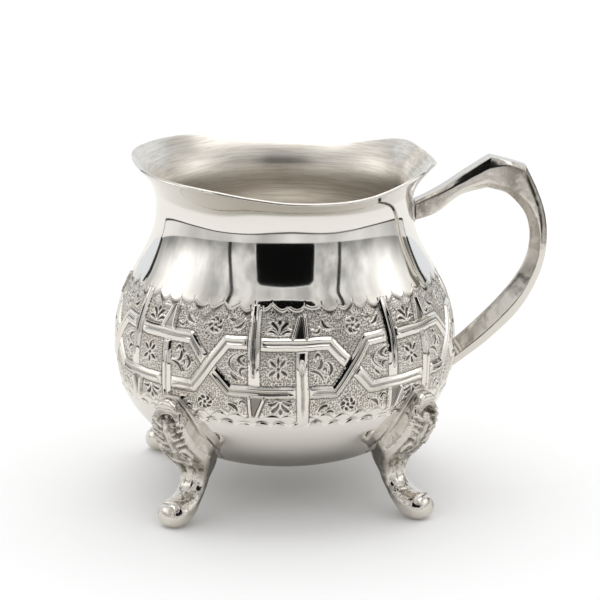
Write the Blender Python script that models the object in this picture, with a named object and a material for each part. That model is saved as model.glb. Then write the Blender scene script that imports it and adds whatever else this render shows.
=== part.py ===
"""Footed silver cream jug: a spun shell, a cast loop handle, four cast feet and the
solder fillets that join them. Metres, +Z up.

The spout points to -X and the handle to +X. The origin lies on the surface that the jug
stands on, under the middle of its overall box, so the vessel's own axis is at AXIS_X.
"""

import math

import bmesh
import bpy
from mathutils import Matrix, Vector

# ---------------------------------------------------------------- driving dimensions
BELLY_RADIUS = 0.0450
BELLY_Z = 0.0412
UNDERSIDE_Z = 0.0092
UNDERSIDE_FULLNESS = 2.35  # exponent of the superellipse below the belly line
NECK_RADIUS = 0.0336
NECK_Z = 0.0770
SHOULDER_PULL = 0.0170  # Bezier handle that leaves the belly line upwards
NECK_PULL = 0.0130  # Bezier handle that arrives at the neck from below
WALL = 0.0009

# The lip: angle from the handle's side in degrees, radius and height. It is the same on
# both sides of the X axis.
LIP = (
    (0.0, 0.0402, 0.0875),
    (17.0, 0.0384, 0.0893),
    (33.0, 0.0398, 0.0888),
    (61.0, 0.0373, 0.0853),
    (90.0, 0.0368, 0.0853),
    (109.0, 0.0380, 0.0868),
    (126.0, 0.0407, 0.0887),
    (153.0, 0.0408, 0.0896),
    (180.0, 0.0400, 0.0905),
)
LIP_SLOPE = math.radians(45)  # how far the lip's edge leans from level
LIP_PULL = 0.45  # Bezier handles of the lip, as a share of its height
RINGS_UNDER = 11
RINGS_SHOULDER = 9
RINGS_LIP = 5
SEGMENTS = 72

# The handle, in the plane Y = 0, measured from the vessel's axis. Each station has its
# outer point, its inner point, its half width, and how deep the bevels run in from the
# outer and the inner flat, as shares of the thickness.
HANDLE = (
    ((0.0345, 0.0775), (0.0345, 0.0721), 0.0030, 0.10, 0.30),
    ((0.0405, 0.0803), (0.0404, 0.0742), 0.0030, 0.10, 0.34),
    ((0.0472, 0.0846), (0.0468, 0.0787), 0.0029, 0.10, 0.40),
    ((0.0544, 0.0890), (0.0536, 0.0804), 0.0030, 0.10, 0.34),
    ((0.0590, 0.0878), (0.0581, 0.0792), 0.0032, 0.10, 0.26),
    ((0.0638, 0.0864), (0.0613, 0.0767), 0.0033, 0.14, 0.24),
    ((0.0684, 0.0761), (0.0642, 0.0727), 0.0033, 0.24, 0.44),
    ((0.0699, 0.0675), (0.0654, 0.0670), 0.0033, 0.40, 0.48),
    ((0.0688, 0.0585), (0.0643, 0.0606), 0.0032, 0.46, 0.50),
    ((0.0640, 0.0485), (0.0601, 0.0536), 0.0031, 0.46, 0.50),
    ((0.0555, 0.0395), (0.0522, 0.0451), 0.0031, 0.46, 0.50),
    ((0.0452, 0.0317), (0.0452, 0.0387), 0.0031, 0.46, 0.50),
)
HANDLE_CORNERS = (3, 5)  # the two stations at the ends of the thumb rest keep their edge
HANDLE_STEPS = 3  # rings from one station to the next
HANDLE_FLAT = 0.55  # width of the outer and the inner flat, as a share of the width
BEVELS_DEEPEST = 0.995  # the two bevels never meet, as a share of the thickness

# One foot, in its own vertical plane through the vessel's axis: distance from the axis,
# height, width and thickness, from the tip of the leaf down to the end of the toe.
FOOT = (
    (0.0450, 0.0347, 0.0036, 0.0014),
    (0.0457, 0.0323, 0.0078, 0.0030),
    (0.0456, 0.0285, 0.0112, 0.0042),
    (0.0438, 0.0240, 0.0122, 0.0046),
    (0.0404, 0.0196, 0.0120, 0.0048),
    (0.0371, 0.0157, 0.0104, 0.0048),
    (0.0366, 0.0120, 0.0084, 0.0046),
    (0.0378, 0.0087, 0.0078, 0.0044),
    (0.0403, 0.0059, 0.0082, 0.0054),
    (0.0433, 0.0041, 0.0088, 0.0072),
    (0.0461, 0.0038, 0.0084, 0.0070),
    (0.0479, 0.0042, 0.0056, 0.0042),
)
FOOT_ANGLES = {
    "foot_handle_left": 45,
    "foot_spout_left": 135,
    "foot_spout_right": 225,
    "foot_handle_right": 315,
}
FOOT_STEPS = 2
FOOT_SIDES = 16
FOOT_SQUARENESS = 2.8  # exponent of the section's superellipse
SOLE_CUT = 0.0002  # how much of the toe's round underside is worn flat

GAP = 0.0003  # room between two pieces that the solder holds together
FILLET_RADIUS = 0.00045
FILLET_SIDES = 6
FILLET_POINTS = 24  # points round an end of the handle
FILLET_ROUNDNESS = 0.7  # exponent of the superellipse round an end of the handle
LEAF_FOOT_Z = 0.0190  # the foot is soldered to the shell from its tip down to here
HEEL_HALF_WIDTH = 0.0035  # where the solder crosses behind the leaf
HEEL_DROP = 0.0030
SLOPE_STEP = 0.0001  # half of the height over which the shell's slope is read

HANDLE_REACH = max(station[0][0] for station in HANDLE)
AXIS_X = (BELLY_RADIUS - HANDLE_REACH) / 2


# ---------------------------------------------------------------- scene and materials
def clear_scene():
    for obj in list(bpy.data.objects):
        bpy.data.objects.remove(obj, do_unlink=True)


def metal(name, colour, roughness):
    material = bpy.data.materials.new(name)
    material.use_nodes = True
    shader = material.node_tree.nodes["Principled BSDF"]
    shader.inputs["Base Color"].default_value = (*colour, 1.0)
    shader.inputs["Metallic"].default_value = 1.0
    shader.inputs["Roughness"].default_value = roughness
    return material


def add_object(name, mesh, material, sharp_angle=math.radians(35)):
    mesh.shade_smooth()
    mesh.set_sharp_from_angle(angle=sharp_angle)
    mesh.materials.append(material)
    obj = bpy.data.objects.new(name, mesh)
    bpy.context.scene.collection.objects.link(obj)
    obj.location.x = AXIS_X
    return obj


def mesh_of(name, bm, closed=True):
    if closed:
        bmesh.ops.recalc_face_normals(bm, faces=bm.faces)
    mesh = bpy.data.meshes.new(name)
    bm.to_mesh(mesh)
    bm.free()
    return mesh


# ---------------------------------------------------------------- curves
def bezier(p0, p1, p2, p3, t):
    s = 1 - t
    return s * s * s * p0 + 3 * s * s * t * p1 + 3 * s * t * t * p2 + t * t * t * p3


def rounded(value, power):
    """A sine or cosine raised to a power, which squares up a circle, with its sign kept."""
    return math.copysign(abs(value) ** power, value)


def slope_at(keys, values, i):
    if i == 0 or i == len(keys) - 1:
        return values[0] * 0.0
    return (values[i + 1] - values[i - 1]) / (keys[i + 1] - keys[i - 1])


def smooth_between(keys, values, x):
    """A smooth curve through the values, level at both ends."""
    i = 0
    while i < len(keys) - 2 and x > keys[i + 1]:
        i += 1
    span = keys[i + 1] - keys[i]
    t = (x - keys[i]) / span
    leave = values[i] + slope_at(keys, values, i) * span / 3
    arrive = values[i + 1] - slope_at(keys, values, i + 1) * span / 3
    return bezier(values[i], leave, arrive, values[i + 1], t)


def stations_between(rows, steps, corners=()):
    """Rows of equal length, with steps rings from one row to the next. The curve runs
    smoothly through every row but the corners."""
    dense = []
    for i in range(len(rows) - 1):
        before = rows[i] if i == 0 or i in corners else rows[i - 1]
        after = rows[i + 1] if i + 2 == len(rows) or i + 1 in corners else rows[i + 2]
        for k in range(steps):
            t = k / steps
            row = []
            for a, b, c, d in zip(before, rows[i], rows[i + 1], after):
                row.append(bezier(b, b + (c - a) / 6, c - (d - b) / 6, c, t))
            dense.append(row)
    dense.append(list(rows[-1]))
    return dense


# ---------------------------------------------------------------- body
def lip_edge(angle):
    """Radius and height of the lip's edge at an angle from +X, in radians."""
    turn = math.degrees(angle) % 360
    turn = min(turn, 360 - turn)
    keys = [row[0] for row in LIP]
    radius = smooth_between(keys, [row[1] for row in LIP], turn)
    height = smooth_between(keys, [row[2] for row in LIP], turn)
    return Vector((radius, height))


def under_profile(t):
    """From the middle of the underside, t = 0, to the belly line, t = 1."""
    swing = t * math.pi / 2
    power = 2 / UNDERSIDE_FULLNESS
    radius = BELLY_RADIUS * math.sin(swing) ** power
    height = BELLY_Z - (BELLY_Z - UNDERSIDE_Z) * math.cos(swing) ** power
    return Vector((radius, height))


def shoulder_profile(t):
    return bezier(
        Vector((BELLY_RADIUS, BELLY_Z)),
        Vector((BELLY_RADIUS, BELLY_Z + SHOULDER_PULL)),
        Vector((NECK_RADIUS, NECK_Z - NECK_PULL)),
        Vector((NECK_RADIUS, NECK_Z)),
        t,
    )


def lip_profile(angle, t):
    edge = lip_edge(angle)
    pull = LIP_PULL * (edge.y - NECK_Z)
    lean = Vector((math.cos(LIP_SLOPE), math.sin(LIP_SLOPE)))
    return bezier(
        Vector((NECK_RADIUS, NECK_Z)),
        Vector((NECK_RADIUS, NECK_Z + pull)),
        edge - pull * lean,
        edge,
        t,
    )


def body_rings(angle):
    """The outer profile at an angle, from the first ring outside the pole to the lip."""
    points = [under_profile((i + 1) / RINGS_UNDER) for i in range(RINGS_UNDER)]
    points += [shoulder_profile((i + 1) / RINGS_SHOULDER) for i in range(RINGS_SHOULDER)]
    points += [lip_profile(angle, (i + 1) / RINGS_LIP) for i in range(RINGS_LIP)]
    return points


def belly_radius_at(z):
    """Outer radius of the shell at a height below its neck."""
    profile, low, high = under_profile, 0.0, 1.0
    if z > BELLY_Z:
        profile = shoulder_profile
    for _ in range(40):
        middle = (low + high) / 2
        if profile(middle).y < z:
            low = middle
        else:
            high = middle
    return profile(low).x


def make_body(material):
    bm = bmesh.new()
    pole = bm.verts.new((0, 0, UNDERSIDE_Z))
    columns = []
    for i in range(SEGMENTS):
        angle = 2 * math.pi * i / SEGMENTS
        column = [
            bm.verts.new((p.x * math.cos(angle), p.x * math.sin(angle), p.y))
            for p in body_rings(angle)
        ]
        columns.append(column)
    for column, following in zip(columns, columns[1:] + columns[:1]):
        bm.faces.new((pole, following[0], column[0]))
        for k in range(len(column) - 1):
            bm.faces.new((column[k], following[k], following[k + 1], column[k + 1]))
    body = add_object("body_shell", mesh_of("body_shell", bm, closed=False), material)
    wall = body.modifiers.new("wall", "SOLIDIFY")
    wall.thickness = WALL
    wall.offset = -1
    wall.use_even_offset = True
    return body


# ---------------------------------------------------------------- lofts
def skin(bm, rings):
    """Joins closed rings of points into one closed surface with flat ends."""
    rows = [[bm.verts.new(point) for point in ring] for ring in rings]
    count = len(rows[0])
    for row, following in zip(rows, rows[1:]):
        for k in range(count):
            j = (k + 1) % count
            bm.faces.new((row[k], row[j], following[j], following[k]))
    bm.faces.new(rows[0][::-1])
    bm.faces.new(rows[-1])


# ---------------------------------------------------------------- handle
def handle_ring(row):
    """Eight points round the bar: two flats, two sides and a bevel at each corner."""
    outer = Vector((row[0], 0, row[1]))
    inner = Vector((row[2], 0, row[3]))
    half, outer_bevel, inner_bevel = row[4], row[5], row[6]
    across = Vector((0, 1, 0))
    outer_side = outer.lerp(inner, outer_bevel)
    inner_side = inner.lerp(outer, min(inner_bevel, BEVELS_DEEPEST - outer_bevel))
    flat = half * HANDLE_FLAT
    return [
        outer - across * flat,
        outer + across * flat,
        outer_side + across * half,
        inner_side + across * half,
        inner + across * flat,
        inner - across * flat,
        inner_side - across * half,
        outer_side - across * half,
    ]


def handle_rows():
    return [(*outer, *inner, *rest) for outer, inner, *rest in HANDLE]


def make_handle(material):
    rows = stations_between(handle_rows(), HANDLE_STEPS, HANDLE_CORNERS)
    bm = bmesh.new()
    skin(bm, [handle_ring(row) for row in rows])
    seat_on_body(bm, 0.0)
    return add_object("handle", mesh_of("handle", bm), material, math.radians(20))


def seat_on_body(bm, angle):
    """Pushes out every point that lies nearer to the shell than the gap."""
    outward = Vector((math.cos(angle), math.sin(angle), 0))
    for vert in bm.verts:
        if vert.co.z < UNDERSIDE_Z + GAP or vert.co.z > NECK_Z:
            continue
        flat = Vector((vert.co.x, vert.co.y, 0))
        room = belly_radius_at(vert.co.z) + GAP
        if flat.length < room and flat.dot(outward) > 0:
            vert.co += flat.normalized() * (room - flat.length)


# ---------------------------------------------------------------- feet
def foot_ring(before, row, after):
    """A rounded rectangle square to the foot's spine, bent round the vessel's axis."""
    distance, height, width, thickness = row
    along = Vector((after[0] - before[0], after[1] - before[1])).normalized()
    normal = Vector((-along.y, along.x))
    power = 2 / FOOT_SQUARENESS
    ring = []
    for k in range(FOOT_SIDES):
        turn = 2 * math.pi * k / FOOT_SIDES
        side = rounded(math.cos(turn), power) * width / 2
        depth = rounded(math.sin(turn), power) * thickness / 2
        radius = distance + normal.x * depth
        bend = side / distance
        z = height + normal.y * depth
        ring.append(Vector((radius * math.cos(bend), radius * math.sin(bend), z)))
    return ring


def make_foot(name, degrees, material):
    rows = stations_between(FOOT, FOOT_STEPS)
    rings = []
    for i, row in enumerate(rows):
        rings.append(foot_ring(rows[max(i - 1, 0)], row, rows[min(i + 1, len(rows) - 1)]))
    bm = bmesh.new()
    skin(bm, rings)
    lowest = min(vert.co.z for vert in bm.verts)
    bmesh.ops.translate(bm, verts=bm.verts, vec=(0, 0, -lowest - SOLE_CUT))
    seat_on_body(bm, 0.0)
    sole = bmesh.ops.bisect_plane(
        bm,
        geom=bm.verts[:] + bm.edges[:] + bm.faces[:],
        plane_co=(0, 0, 0),
        plane_no=(0, 0, -1),
        clear_outer=True,
    )
    edges = [item for item in sole["geom_cut"] if isinstance(item, bmesh.types.BMEdge)]
    bmesh.ops.contextual_create(bm, geom=edges)
    bmesh.ops.rotate(bm, verts=bm.verts, matrix=Matrix.Rotation(math.radians(degrees), 3, "Z"))
    return add_object(name, mesh_of(name, bm), material)


# ---------------------------------------------------------------- solder fillets
def add_fillet(name, points, material):
    """A round bead along a closed route."""
    rings = []
    for i, point in enumerate(points):
        along = (points[(i + 1) % len(points)] - points[i - 1]).normalized()
        side = along.cross(Vector((point.x, point.y, 0)).normalized()).normalized()
        up = side.cross(along)
        ring = []
        for k in range(FILLET_SIDES):
            turn = 2 * math.pi * k / FILLET_SIDES
            ring.append(point + FILLET_RADIUS * (math.cos(turn) * side + math.sin(turn) * up))
        rings.append(ring)
    bm = bmesh.new()
    rows = [[bm.verts.new(point) for point in ring] for ring in rings]
    for row, following in zip(rows, rows[1:] + rows[:1]):
        for k in range(FILLET_SIDES):
            j = (k + 1) % FILLET_SIDES
            bm.faces.new((row[k], row[j], following[j], following[k]))
    return add_object(name, mesh_of(name, bm), material)


def on_shell(angle, z, lift):
    """A point that stands off the shell's surface along its normal."""
    rise = belly_radius_at(z + SLOPE_STEP) - belly_radius_at(z - SLOPE_STEP)
    normal = Vector((2 * SLOPE_STEP, -rise)).normalized()
    radius = belly_radius_at(z) + lift * normal.x
    return Vector((radius * math.cos(angle), radius * math.sin(angle), z + lift * normal.y))


FILLET_LIFT = GAP + FILLET_RADIUS
FILLET_CLEARANCE = 2 * GAP + FILLET_RADIUS


def oval_route(middle_z, half_height, half_width):
    """A rounded loop on the shell's surface round a piece that is soldered to it."""
    points = []
    for k in range(FILLET_POINTS):
        turn = 2 * math.pi * k / FILLET_POINTS
        z = middle_z + half_height * rounded(math.sin(turn), FILLET_ROUNDNESS)
        side = half_width * rounded(math.cos(turn), FILLET_ROUNDNESS)
        points.append(on_shell(side / belly_radius_at(z), z, FILLET_LIFT))
    return points


def foot_route(degrees):
    """Round the leaf of a foot: up one edge, over its tip, and down the other edge."""
    leaf = [row for row in FOOT if row[1] > LEAF_FOOT_Z]
    down_one_side = []
    for _, z, width, _ in stations_between(leaf, 2):
        down_one_side.append((width / 2 + FILLET_CLEARANCE, z))
    tip_z = FOOT[0][1] + FILLET_CLEARANCE + FILLET_RADIUS
    heel_z = leaf[-1][1] - HEEL_DROP
    loop = [(0.0, tip_z)] + down_one_side + [(HEEL_HALF_WIDTH, heel_z)]
    loop += [(-HEEL_HALF_WIDTH, heel_z)] + [(-side, z) for side, z in reversed(down_one_side)]
    points = []
    for side, z in loop:
        angle = math.radians(degrees) + side / belly_radius_at(z)
        points.append(on_shell(angle, z, FILLET_LIFT))
    return points


def handle_route(end, following):
    """Round the end of the handle, a little off centre because the bar arrives sloping."""
    (outer, inner, half_width, *_), (next_outer, _, *_) = end, following
    slope = (next_outer[1] - outer[1]) / (next_outer[0] - outer[0])
    half_height = abs(outer[1] - inner[1]) / 2 + FILLET_CLEARANCE * math.hypot(1, slope)
    middle_z = (outer[1] + inner[1]) / 2 + FILLET_LIFT * slope
    return oval_route(middle_z, half_height, half_width + FILLET_CLEARANCE)


def make_fillets(material):
    add_fillet("solder_handle_upper", handle_route(HANDLE[0], HANDLE[1]), material)
    add_fillet("solder_handle_lower", handle_route(HANDLE[-1], HANDLE[-2]), material)
    for name, degrees in FOOT_ANGLES.items():
        add_fillet("solder_" + name, foot_route(degrees), material)


# ---------------------------------------------------------------- the jug
def build():
    clear_scene()
    make_body(metal("polished_silver", (0.80, 0.79, 0.77), 0.08))
    make_handle(metal("cast_silver", (0.74, 0.73, 0.70), 0.20))
    foot_metal = metal("foot_silver", (0.74, 0.73, 0.70), 0.28)
    for name, degrees in FOOT_ANGLES.items():
        make_foot(name, degrees, foot_metal)
    make_fillets(metal("solder_silver", (0.66, 0.65, 0.63), 0.40))


build()
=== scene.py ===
"""Looks of the footed silver cream jug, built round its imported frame. Metres, +Z up; the
spout points to -X and the handle to +X. Relief patterns are laid out in millimetres."""

import math

import bpy
import numpy as np
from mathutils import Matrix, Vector


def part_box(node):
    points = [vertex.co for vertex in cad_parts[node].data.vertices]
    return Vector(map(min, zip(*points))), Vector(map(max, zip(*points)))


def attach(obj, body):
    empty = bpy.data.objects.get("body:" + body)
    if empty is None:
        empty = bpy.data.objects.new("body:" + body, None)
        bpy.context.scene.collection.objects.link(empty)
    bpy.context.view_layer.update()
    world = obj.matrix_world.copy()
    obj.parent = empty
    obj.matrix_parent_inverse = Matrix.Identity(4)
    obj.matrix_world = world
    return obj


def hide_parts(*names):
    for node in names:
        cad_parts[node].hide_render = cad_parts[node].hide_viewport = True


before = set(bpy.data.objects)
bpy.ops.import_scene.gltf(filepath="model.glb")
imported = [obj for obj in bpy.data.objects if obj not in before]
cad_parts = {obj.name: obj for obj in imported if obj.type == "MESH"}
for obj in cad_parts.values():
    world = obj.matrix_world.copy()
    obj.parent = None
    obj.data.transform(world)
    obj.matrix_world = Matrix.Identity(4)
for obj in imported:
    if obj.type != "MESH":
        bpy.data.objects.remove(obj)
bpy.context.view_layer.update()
MM = 0.001

# ---- the shell, with its box from the frame
SHELL_LOW, SHELL_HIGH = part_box("body_shell")
AXIS_X = (SHELL_LOW.x + SHELL_HIGH.x) / 2
BELLY_RADIUS = (SHELL_HIGH.y - SHELL_LOW.y) / 2
UNDERSIDE_Z = SHELL_LOW.z
BELLY_Z = 0.0412
UNDERSIDE_FULLNESS = 2.35
NECK_RADIUS = 0.0336
NECK_Z = 0.0770
SHOULDER_PULL = 0.0170
NECK_PULL = 0.0130
WALL = 0.0009
LIP = (  # degrees from the handle, radius, height
    (0.0, 0.0403, 0.0875),
    (7.0, 0.0401, 0.0878),
    (17.0, 0.0387, 0.0893),
    (33.0, 0.0398, 0.0888),
    (61.0, 0.0373, 0.0853),
    (90.0, 0.0368, 0.0853),
    (109.0, 0.0380, 0.0868),
    (126.0, 0.0407, 0.0887),
    (153.0, 0.0408, 0.0896),
    (180.0, 0.0400, 0.0905),
)
SWELL, SWELL_Z, SWELL_HALF = 0.00008, 0.0616, 0.0021  # the sheet is a little proud at the band's top
LIP_SLOPE = math.radians(45)
LIP_PULL = 0.45
RIM_BULGE = 0.5  # how far the rim's round edge stands out, as a share of a half circle
SHELL_COLUMNS = 360
ROWS_UNDER, ROWS_SHOULDER, ROWS_LIP, ROWS_RIM = 56, 66, 26, 8
PROFILE_STEPS = 600
SINK = 0.00072  # the shell lies this much lower behind the relief
RIM_SHADE_AT, RIM_SHADE_HALF = -97.0, 52.0  # degrees: where the painted shade under the rim is centred, and its half width

# ---- the relief band, in mm
BAND_LOW, BAND_HIGH = 29.0, 62.0
BAND_ROWS = 209
REPEATS = 7
COLUMNS_PER_REPEAT = 258
BAND_FIELDS = 4  # the band's mesh is in four fields, to keep each one small
BELLY_MM = 45.0  # the pattern is laid out on a belly of this radius
REPEAT_MM = 2 * math.pi * BELLY_MM / REPEATS
FIRST_CROSSING = -122.71  # degrees, before the crowding
CROWDING = 0.061  # the repeats sit closer together round the front
CROWDED_AT = -97.0
STRAP_HALF = 1.62
STRAP_TOP, RIDGE_RISE, GROOVE_DEPTH = 0.50, 0.10, 0.40
STRAP_Z = (38.9, 51.3)
SLASH_REACH, BACKSLASH_REACH = 5.0, 6.0
UPRIGHT_X, DOWNRIGHT_X = 13.1, -14.0
GROUND = -0.42
MIDDLE_Z = sum(STRAP_Z) / 2
SCALLOPS = 8
SCALLOP_Z, SCALLOP_SAG = (60.1, 58.3), 1.25
SCALLOP_DROP = 0.8  # the lower rows lie further from the straps
STIPPLE, STIPPLE_DEPTH = 0.60, 0.25  # from one punch mark to the next, and its depth
CUT_DEPTH = 0.40  # of the crescents
SPUR_TIP_Z = 58.3

# ---- handle and feet, in metres
HANDLE = (  # outer and inner x and z, half width, bevels as shares of the depth, flats of the width
    (0.0345, 0.0775, 0.0345, 0.0721, 0.0030, 0.10, 0.22, 0.62, 0.55),
    (0.0405, 0.0803, 0.0404, 0.0742, 0.0030, 0.14, 0.24, 0.66, 0.50),
    (0.0472, 0.0846, 0.0468, 0.0787, 0.0029, 0.34, 0.26, 0.72, 0.45),
    (0.0544, 0.0890, 0.0536, 0.0804, 0.0030, 0.32, 0.24, 0.74, 0.45),
    (0.0590, 0.0878, 0.0581, 0.0792, 0.0032, 0.12, 0.22, 0.62, 0.45),
    (0.0638, 0.0864, 0.0613, 0.0767, 0.0033, 0.14, 0.24, 0.55, 0.45),
    (0.0684, 0.0761, 0.0642, 0.0727, 0.0033, 0.28, 0.44, 0.50, 0.30),
    (0.0699, 0.0675, 0.0654, 0.0670, 0.0033, 0.42, 0.52, 0.45, 0.20),
    (0.0688, 0.0585, 0.0643, 0.0606, 0.0032, 0.38, 0.56, 0.45, 0.14),
    (0.0640, 0.0485, 0.0601, 0.0536, 0.0031, 0.36, 0.58, 0.45, 0.12),
    (0.0555, 0.0395, 0.0522, 0.0451, 0.0031, 0.36, 0.58, 0.45, 0.12),
    (0.0452, 0.0317, 0.0452, 0.0387, 0.0031, 0.36, 0.58, 0.45, 0.12),
)
HANDLE_CORNERS = (3, 5)
HANDLE_STEPS = 36
EDGE_SOFTNESS = 0.00035  # radius on the handle's long edges

FOOT = (  # radius, height, width and depth of each section, from the tip down
    (0.0450, 0.0347, 0.0036, 0.0014),
    (0.0457, 0.0323, 0.0078, 0.0030),
    (0.0456, 0.0285, 0.0112, 0.0042),
    (0.0438, 0.0240, 0.0122, 0.0046),
    (0.0404, 0.0196, 0.0120, 0.0048),
    (0.0371, 0.0157, 0.0104, 0.0048),
    (0.0366, 0.0120, 0.0084, 0.0046),
    (0.0378, 0.0087, 0.0078, 0.0044),
    (0.0403, 0.0059, 0.0082, 0.0054),
    (0.0433, 0.0041, 0.0088, 0.0072),
    (0.0461, 0.0038, 0.0084, 0.0070),
    (0.0479, 0.0042, 0.0056, 0.0042),
)
FOOT_ANGLES = {
    "foot_handle_left": 45,
    "foot_spout_left": 135,
    "foot_spout_right": 225,
    "foot_handle_right": 315,
}
KNEE_WIDENING = 0.0019  # the leaf spreads at the knee
KNEE_DEPTH = 0.0055  # how much further back the leaf reaches, up to the body
KNEE_AT = 18.0  # mm down from the tip
FOOT_STEPS = 16
FOOT_SIDES = 120
FOOT_SQUARENESS, TOE_SQUARENESS = 3.3, 2.2
GAP = 0.0003  # the handle and feet keep at least this far off the body

# ---- camera and studio
CAMERA_DISTANCE = 0.7578
CAMERA_ELEVATION = math.radians(16.2)
CAMERA_TURN = math.radians(5.5)  # the jug stands turned this far from square
CAMERA_LENS = 171.0
AIM_RIGHT, AIM_UP = 0.00417, 0.00931
TENT_FRONT, TENT_SIDE, TENT_BACK, TENT_TOP = -1.0, 1.07, 0.90, 1.9
OVERHEAD_POWER = 12.0
DAYLIGHT = 0.97
SHADE_NEAR, SHADE_FAR = 0.020, 0.043  # the reflected table's dark patch, metres from the axis
PANEL_LIGHT = 0.84
SILL_HEIGHT, SKIRT_HEIGHT = 0.0585, 0.0080


# ---- small tools
def ease(low, high, x):
    """0 at low, 1 at high, smooth between; low may be the greater."""
    t = np.clip((x - low) / (high - low), 0.0, 1.0)
    return t * t * (3.0 - 2.0 * t)


def bump(x, middle, half_width):
    """1 at the middle, falling away on both sides."""
    return np.exp(-(((x - middle) / half_width) ** 2))


def quadratic(p0, p1, p2, t):
    s = 1 - t
    return s * s * p0 + 2 * s * t * p1 + t * t * p2


def bezier(p0, p1, p2, p3, t):
    s = 1 - t
    return s * s * s * p0 + 3 * s * s * t * p1 + 3 * s * t * t * p2 + t * t * t * p3


def stroke(start, middle, end, fat, steps):
    """A curve through three points, and its taper: full at the share fat, none at its ends."""
    t = np.linspace(0, 1, steps)
    start, middle, end = np.array(start), np.array(middle), np.array(end)
    curve = quadratic(start, 2 * middle - (start + end) / 2, end, t[:, None])
    return curve, np.clip(np.where(t < fat, t / fat, (1 - t) / (1 - fat)), 0, 1) ** 0.6


def rounded(value, power):
    """A circle's sine or cosine, turned into that of a squarer or rounder outline."""
    return np.sign(value) * np.abs(value) ** power


def slope_at(keys, values, i):
    if i == 0 or i == len(keys) - 1:
        return 0.0
    return (values[i + 1] - values[i - 1]) / (keys[i + 1] - keys[i - 1])


def smooth_between(keys, values, x):
    """A smooth curve through the values, level at both ends."""
    i = 0
    while i < len(keys) - 2 and x > keys[i + 1]:
        i += 1
    span = keys[i + 1] - keys[i]
    leave = values[i] + slope_at(keys, values, i) * span / 3
    arrive = values[i + 1] - slope_at(keys, values, i + 1) * span / 3
    return bezier(values[i], leave, arrive, values[i + 1], (x - keys[i]) / span)


def stations_between(rows, steps, corners=()):
    """steps rows from each row to the next, on a smooth curve through all but the corners."""
    rows = [np.array(row, float) for row in rows]
    dense = []
    for i in range(len(rows) - 1):
        before = rows[i] if i == 0 or i in corners else rows[i - 1]
        after = rows[i + 1] if i + 2 == len(rows) or i + 1 in corners else rows[i + 2]
        a, b = rows[i], rows[i + 1]
        for k in range(steps):
            dense.append(bezier(a, a + (b - before) / 6, b - (after - a) / 6, b, k / steps))
    dense.append(rows[-1])
    return np.array(dense)


def wander(points, size, seed):
    """Soft noise in -1..1 at each point, made of plane waves in seeded directions."""
    octaves, waves = 3, 7
    random = np.random.default_rng(seed)
    total = np.zeros(points.shape[:-1])
    for octave in range(octaves):
        for _ in range(waves):
            direction = random.normal(size=3)
            direction *= 2 * math.pi * 2**octave / (size * np.linalg.norm(direction))
            total += np.sin(points @ direction + random.uniform(0, 2 * math.pi)) / 2**octave
    return total / (waves * 0.9)


def add_object(name, data):
    obj = bpy.data.objects.new(name, data)
    bpy.context.scene.collection.objects.link(obj)
    return obj


def mesh_object(name, points, quads, triangles=(), materials=(), normals=None):
    """An object at the origin from arrays of points, quads and triangles."""
    quads = np.asarray(quads, np.int32).reshape(-1, 4)
    triangles = np.asarray(triangles, np.int32).reshape(-1, 3)
    mesh = bpy.data.meshes.new(name)
    mesh.vertices.add(len(points))
    mesh.vertices.foreach_set("co", np.asarray(points, np.float32).ravel())
    mesh.loops.add(quads.size + triangles.size)
    mesh.loops.foreach_set("vertex_index", np.concatenate([quads.ravel(), triangles.ravel()]))
    starts = [np.arange(len(quads)) * 4, quads.size + np.arange(len(triangles)) * 3]
    starts = np.concatenate(starts)
    mesh.polygons.add(len(starts))
    mesh.polygons.foreach_set("loop_start", starts.astype(np.int32))
    mesh.update(calc_edges=True)
    mesh.validate()
    mesh.shade_smooth()
    for material in materials:
        mesh.materials.append(material)
    if normals is not None:
        mesh.normals_split_custom_set_from_vertices(np.asarray(normals, np.float32))
    return add_object(name, mesh)


def grid_quads(rows, columns, wrap):
    """Quads of a grid of points, rows going up and columns going round."""
    index = np.arange(rows * columns).reshape(rows, columns)
    if wrap:
        index = np.hstack([index, index[:, :1]])
    return np.stack([index[:-1, :-1], index[:-1, 1:], index[1:, 1:], index[1:, :-1]], -1)


def end_fans(rows, columns):
    """Triangles from the first and last rows of a grid to two points that follow it."""
    ring = np.arange(columns)
    following = np.roll(ring, -1)
    middle, last = rows * columns, (rows - 1) * columns
    first = np.stack([np.full_like(ring, middle), following, ring], -1)
    second = np.stack([np.full_like(ring, middle + 1), last + ring, last + following], -1)
    return np.vstack([first, second])


def set_attribute(obj, name, values):
    """A number at each point; points past the last value, such as the caps' middles, get 0."""
    filled = np.zeros(len(obj.data.vertices), np.float32)
    filled[: np.size(values)] = np.ravel(values)
    obj.data.attributes.new(name, "FLOAT", "POINT").data.foreach_set("value", filled)


def stand_for(obj, node):
    """The piece takes the place of a node of the frame."""
    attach(obj, "root")
    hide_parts(node)


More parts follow.
